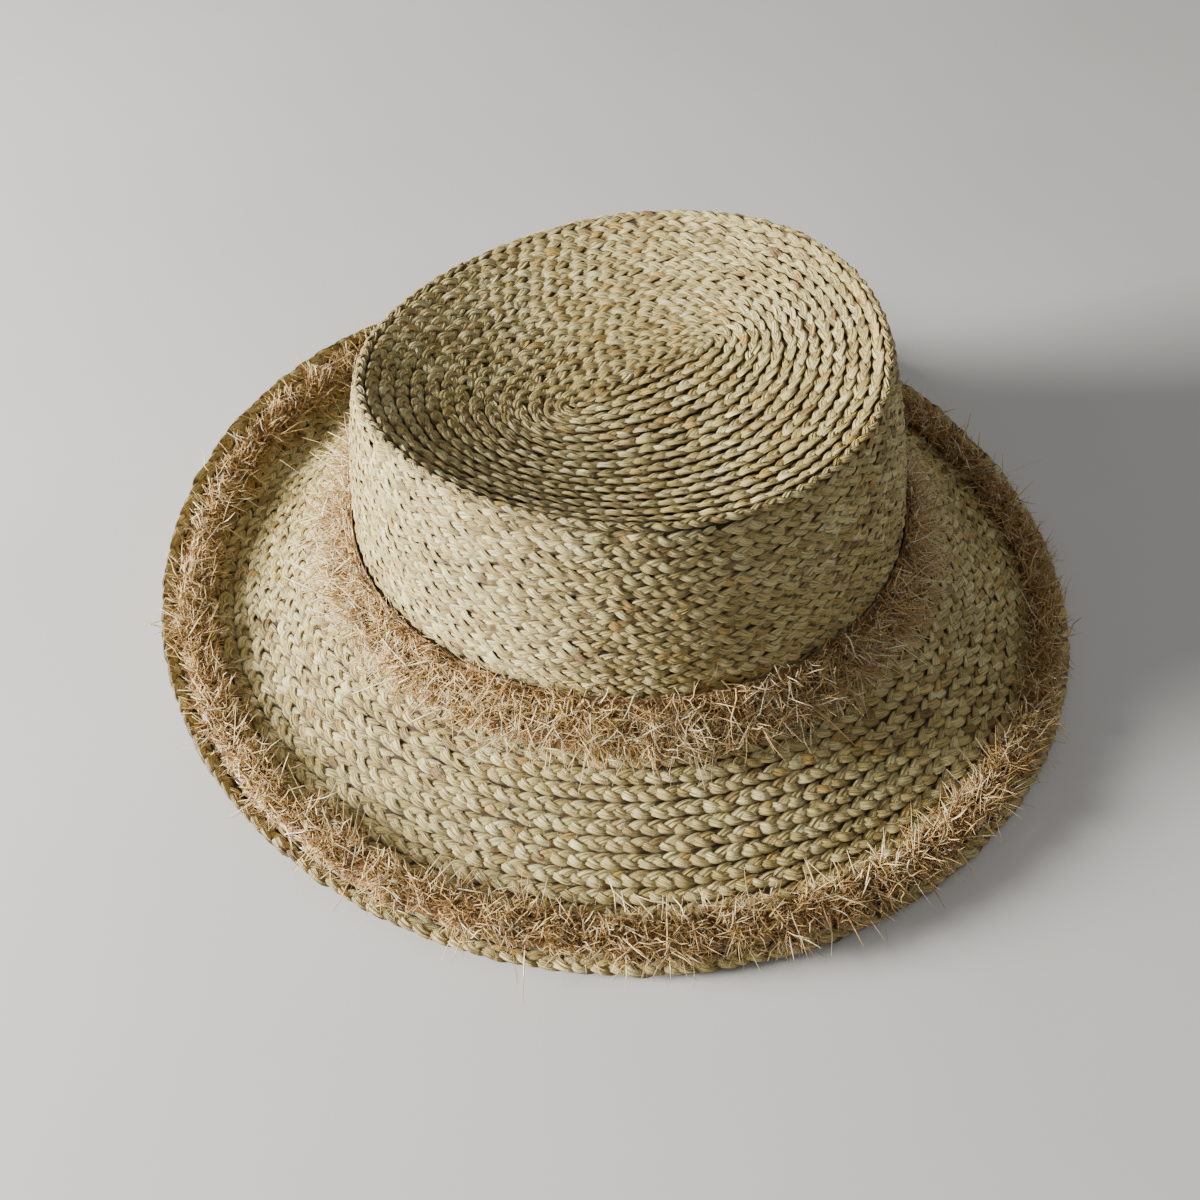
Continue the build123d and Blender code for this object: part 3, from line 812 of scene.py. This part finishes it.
def size_label():
    """A blank woven label, sewn along its top, whose lower corners lift a little."""
    low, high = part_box("size_label")
    tree = node_tree("size_label")
    middle = (low.z + high.z) / 2
    centre = (low.x + high.x) / 2
    columns, stations = 90, 25
    across = np.linspace(-0.5, 0.5, columns) * (high.x - low.x)
    levels = middle + np.linspace(-0.5, 0.5, stations) * LABEL_TALL
    face = np.zeros((columns, stations, 3))
    for i, x in enumerate(across):
        hit = tree.ray_cast(Vector((centre + x * 0.97, 0, middle)), Vector((0, 1, 0)))[0]
        face[i, :, 0] = centre + x
        face[i, :, 1] = hit.y + 0.02 * MM
        face[i, :, 2] = levels
    drop = np.clip((middle - levels) / (LABEL_TALL / 2), 0, 1)
    corner = (2 * abs(across) / (high.x - low.x)) ** 4
    face[:, :, 1] -= (0.15 + 0.5 * corner)[:, None] * drop[None, :] ** 2 * MM
    out = np.broadcast_to(np.array([0, -1.0, 0]), face.shape)
    piece = cloth_body("size_label_woven", "size_label", "label", label_cloth, face, out,
                       LABEL_THICK, LABEL_RIB, LABEL_RELIEF, False)


def islands(node):
    """Vertex places of each separate solid in a CAD node."""
    shape = bmesh.new()
    shape.from_mesh(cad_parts[node].data)
    bmesh.ops.remove_doubles(shape, verts=shape.verts, dist=1e-6)
    left, found = set(shape.verts), []
    while left:
        group, edge = [], [left.pop()]
        while edge:
            vertex = edge.pop()
            group.append(tuple(vertex.co))
            near = [e.other_vert(vertex) for e in vertex.link_edges]
            edge += [v for v in near if v in left]
            left.difference_update(near)
        found.append(sorted(group))
    shape.free()
    return sorted(found)


def stitches(name, node, inside):
    """Twisted thread where a node's stitches are. inside is 1 for stitches seen from inside, else -1."""
    heap = Heap()
    share = np.linspace(-1, 1, THREAD_STATIONS)
    turn = np.arange(THREAD_SIDES) * TURN / THREAD_SIDES
    size = THREAD_THICK / 2 * np.sqrt(np.clip(1.03 - share ** 8, 0.05, 1))
    plied = 1 + 0.16 * np.cos(2 * turn[None, :] + share[:, None] * 9)
    ring = np.stack([np.cos(turn), np.sin(turn)], -1)[None] * (size[:, None] * plied)[..., None]
    for group in islands(node):
        group = np.array(group)
        middle = group.mean(0)
        along, side, _ = np.linalg.svd(group - middle)[2]
        half = abs((group - middle) @ along).max()
        sag = (share ** 4 * THREAD_SAG)[:, None] * unit(middle * np.array([1, 1, 0])) * inside
        line = middle + share[:, None] * half * along * random.uniform(0.92, 1.0) + sag
        marks = np.ones((THREAD_STATIONS, THREAD_SIDES, 4))
        marks[..., 0] = random.uniform(0, 1)
        vertices = placed(line, side[None], np.cross(along, side)[None], ring)
        faces = tube_faces(THREAD_STATIONS, THREAD_SIDES)
        heap.put(vertices.reshape(-1, 3), marks.reshape(-1, 4), faces)
    return heap.piece(name, [thread], "thread", node)


def fabrics():
    """Everything of cloth or thread."""
    sweatband()
    size_label()
    crown_tape()
    brim_tape()
    stitches("sweatband_thread", "sweatband_stitches", 1)
    stitches("label_thread", "label_stitches", 1)
    stitches("crown_trim_thread", "crown_trim_stitches", -1)
    stitches("brim_trim_thread", "brim_trim_stitches", -1)


# ---------------------------------------------------------------- fringes
def blades(heap, roots, ways, bends, curls, lengths, widths, tints, out):
    """Thin tapered strands with a flat triangular section, one for each root, kept on the out side."""
    stations = np.linspace(0, 1, len(RAFFIA_TAPER))
    taper = np.array(RAFFIA_TAPER)
    long = lengths[:, None, None]
    share = stations[None, :, None]
    middle = roots[:, None, :] + long * (ways[:, None, :] * share + bends[:, None, :] * share ** 2
                                         + curls[:, None, :] * np.sin(TURN * 0.75 * share))
    ahead = unit(np.gradient(middle, axis=1))
    spin = unit(random.normal(0, 1, ways.shape))[:, None, :]
    across = unit(np.cross(ahead, spin))
    top = np.cross(across, ahead)
    half = (widths[:, None] * taper[None, :] / 2)[:, :, None, None]
    corners = np.array([(-1, -0.12), (1, -0.12), (0.1, 0.28)])
    ring = corners[None, None, :, :] * half
    under = ((roots[:, None, :] - middle) * out[:, None, :]).sum(-1, keepdims=True)
    middle += np.maximum(under, 0) * 1.05 * out[:, None, :]
    middle[..., 2] = np.maximum(middle[..., 2], cad_box[0].z + FLOOR_GAP)
    vertices = placed(middle, across, top, ring)
    count, steps, sides = vertices.shape[:3]
    marks = np.ones((count, steps, sides, 4))
    marks[..., 0] = tints[:, None, None]
    marks[..., 1] = stations[None, :, None]
    marks[..., 2] = np.array([0, 1, 0.5])[None, None, :]
    quads, ends = tube_faces(steps, sides)
    starts = (np.arange(count) * steps * sides)[:, None, None]
    heap.put(vertices.reshape(-1, 3), marks.reshape(-1, 4),
             [(quads[None] + starts).reshape(-1, 4), (ends[None] + starts).reshape(-1, 3)])


def clumped(angles, spacing, size):
    """A lean for each angle that neighbouring strands share."""
    knots = random.normal(0, size, (int(TURN / spacing) + 1, 3))
    return knots[np.mod(angles / spacing, len(knots) - 1).astype(int)]


def frame_at(angles, rows):
    """Places at angles and rows, and there the directions outward, round the hat and on along the rows."""
    place = on_hat(grid, angles, rows)
    out = unit(on_hat(normals, angles, rows))
    round_it = unit(on_hat(grid, angles + 0.01, rows) - on_hat(grid, angles - 0.01, rows))
    onward = unit(np.cross(round_it, out))
    sense = np.sign((onward * (on_hat(grid, angles, rows + 0.3) - place)).sum(-1, keepdims=True))
    return place, out, round_it, onward * sense


def mat(heap, span, rows, high):
    """The dense root of a fringe: a long closed body with a lumpy upper face."""
    angles = np.linspace(*span, int((span[1] - span[0]) / TURN * MAT_STEPS))
    angles, rows = np.meshgrid(angles, np.linspace(*rows, MAT_SIDES), indexing="ij")
    place, out, _, _ = frame_at(angles, rows)
    foot = place + out * HALF_STRAW
    arch = high * np.sin(np.linspace(0.15, math.pi - 0.15, MAT_SIDES))
    heights = np.concatenate([np.full(MAT_SIDES, MAT_FOOT), arch])[None, :, None]
    count, sides = len(angles), 2 * MAT_SIDES
    marks = np.ones((count, sides, 4))
    # Painted shade: the mat takes the darkest raffia tints, and through green the roots' painted shade, for
    # the shaded depths of the fringe
    marks[..., 0] = random.uniform(0.0, 0.35, (count, sides))
    marks[..., 1] = 0.3
    marks[..., 2] = 0.5
    foot = np.concatenate([foot, foot[:, ::-1]], 1)
    out = np.concatenate([out, out[:, ::-1]], 1)
    vertices = foot + out * random.uniform(0.5, 1.5, (count, sides, 1)) * heights
    heap.put(vertices.reshape(-1, 3), marks.reshape(-1, 4), tube_faces(count, sides))


def fringe(name, node, count, span, rows, rise, lengths, lean, mess, tint, mat_rows, mat_high):
    """A fringe over a span of angles, rooted between two rows and at a rise over the straw.
    lean is how far its strands go out and on, and mess how unevenly."""
    heap = Heap()
    angles = random.uniform(*span, count)
    place, out, round_it, onward = frame_at(angles, random.uniform(*rows, count))
    clump = clumped(angles, CLUMP_SPACING, CLUMP_LEAN)
    upright = lean[0] + clump[:, :1] * 0.6 + random.normal(0, mess * 0.5, (count, 1))
    forward = lean[1] + clump[:, 1:2] + random.normal(0, mess, (count, 1))
    sideways = clump[:, 2:] + random.normal(0, mess, (count, 1))
    ways = unit(out * np.maximum(upright, 0.12) + onward * forward + round_it * sideways)
    bends = random.normal(0, 0.6, (count, 3)) - UP * random.uniform(0.0, 0.35, (count, 1)) + out * 0.05
    curls = random.normal(0, 0.25, (count, 3))
    roots = place + out * (HALF_STRAW + random.uniform(*rise, (count, 1)))
    long = random.uniform(*lengths, count)
    wide = random.uniform(RAFFIA_NARROW, RAFFIA_WIDE, count)
    tints = np.clip(random.normal(tint, 0.2, count) + 0.4 * (random.uniform(0, 1, count) > 0.85), 0, 1)
    blades(heap, roots, ways, bends, curls, long, wide, tints, out)
    mat(heap, span, mat_rows, mat_high)
    return heap.piece(name, [raffia], "raffia", node)


def fringes():
    """The crown's two tiers of fringe and the brim's edge fringe, in lengths."""
    foot, edge = BRIM_START, LAST_ROW
    fringe("crown_fringe_upper_raffia", "crown_fringe_upper", 7000, (0, TURN), rows=(foot - 3.0, foot - 0.9),
           rise=(0.1 * MM, 2.6 * MM), lengths=(3.5 * MM, 8 * MM), lean=(0.60, 0.25), mess=0.6, tint=0.56,
           mat_rows=(foot - 2.8, foot - 0.6), mat_high=2.2 * MM)
    for name, start in (("front", -math.pi), ("back", 0)):
        fringe("crown_fringe_lower_raffia_" + name, "crown_fringe_lower", 5000, (start, start + math.pi),
               rows=(foot - 0.9, foot + 2.0), rise=(0.4 * MM, 4.5 * MM), lengths=(4.5 * MM, 9.5 * MM),
               lean=(0.60, 0.45), mess=0.6, tint=0.62, mat_rows=(foot - 0.6, foot + 2.2), mat_high=3.4 * MM)
    for part in range(3):
        start = -math.pi / 2 + part * TURN / 3
        fringe("brim_fringe_raffia_%d" % (part + 1), "brim_fringe", 6200, (start, start + TURN / 3),
               rows=(edge - 3.2, edge - 1.2), rise=(0.1 * MM, 3.4 * MM), lengths=(4 * MM, 7 * MM),
               lean=(0.60, -0.06), mess=0.62, tint=0.48,
               mat_rows=(edge - 3.0, edge - 1.15), mat_high=2.8 * MM)


# ---------------------------------------------------------------- stage, light and camera
# Lights: place, size in metres, power in watts and colour
KEY_LIGHT = ((-0.15, -1.50, 0.43), 0.42, 128.0, (1.0, 0.98, 0.93))
FILL_LIGHT = ((0.4, 0.6, 1.9), 1.6, 6.0, (0.97, 0.98, 1.0))
SKY_COLOUR = (1.0, 0.98, 0.95, 1)
SKY_STRENGTH = 0.28
FLOOR_HALF = 14.0

# Camera, which sees the hat as the photograph does
LENS = 39.53
CAMERA_PLACE = (0.3118, -0.1249, 0.3808)
CAMERA_FORWARD = (-0.6088, 0.2249, -0.7608)
CAMERA_UP = (-0.7367, 0.1957, 0.6473)


def aim(thing, place, forward, up):
    """Puts a camera or a light at a place, looking along forward."""
    forward, up = Vector(forward).normalized(), Vector(up)
    right = forward.cross(up).normalized()
    up = right.cross(forward)
    turn = Matrix((right, up, -forward)).transposed().to_4x4()
    thing.matrix_world = Matrix.Translation(Vector(place)) @ turn


def area_light(name, place, size, power, colour):
    """A soft square light that points at the crown."""
    data = bpy.data.lights.new(name, "AREA")
    data.shape = "SQUARE"
    data.size = size
    data.energy = power
    data.color = colour
    light = bpy.data.objects.new(name, data)
    bpy.context.scene.collection.objects.link(light)
    target = (cad_box[0] + cad_box[1]) / 2
    aim(light, place, target - Vector(place), UP)


def studio():
    """Floor, lights and surroundings."""
    mesh = bpy.data.meshes.new("floor")
    corners = [(-FLOOR_HALF, -FLOOR_HALF, 0), (FLOOR_HALF, -FLOOR_HALF, 0),
               (FLOOR_HALF, FLOOR_HALF, 0), (-FLOOR_HALF, FLOOR_HALF, 0)]
    mesh.from_pydata(corners, [], [(0, 1, 2, 3)])
    mesh.materials.append(floor_material())
    floor = bpy.data.objects.new("floor", mesh)
    floor.location.z = min(cad_box[0].z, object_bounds()[0].z) - 0.02 * MM
    bpy.context.scene.collection.objects.link(floor)
    floor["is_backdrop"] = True
    area_light("key_light", *KEY_LIGHT)
    area_light("fill_light", *FILL_LIGHT)
    world = bpy.data.worlds.new("studio")
    world.use_nodes = True
    sky = world.node_tree.nodes["Background"]
    sky.inputs["Color"].default_value = SKY_COLOUR
    sky.inputs["Strength"].default_value = SKY_STRENGTH
    bpy.context.scene.world = world


def photo_camera():
    """The camera, looking down on the hat from its right side and a little ahead of it."""
    data = bpy.data.cameras.new("camera")
    data.sensor_width = 36.0
    data.lens = LENS
    data.clip_start = 0.01
    camera = bpy.data.objects.new("camera", data)
    bpy.context.scene.collection.objects.link(camera)
    aim(camera, CAMERA_PLACE, CAMERA_FORWARD, CAMERA_UP)
    bpy.context.scene.camera = camera


def paint(nodes, material):
    """Gives CAD nodes a finished material."""
    for node in nodes:
        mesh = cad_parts[node].data
        mesh.materials.clear()
        mesh.materials.append(material)


photo_camera()
straw_body()
fringes()
fabrics()
paint(["brim_wire", "wire_joiner"], steel)
studio()
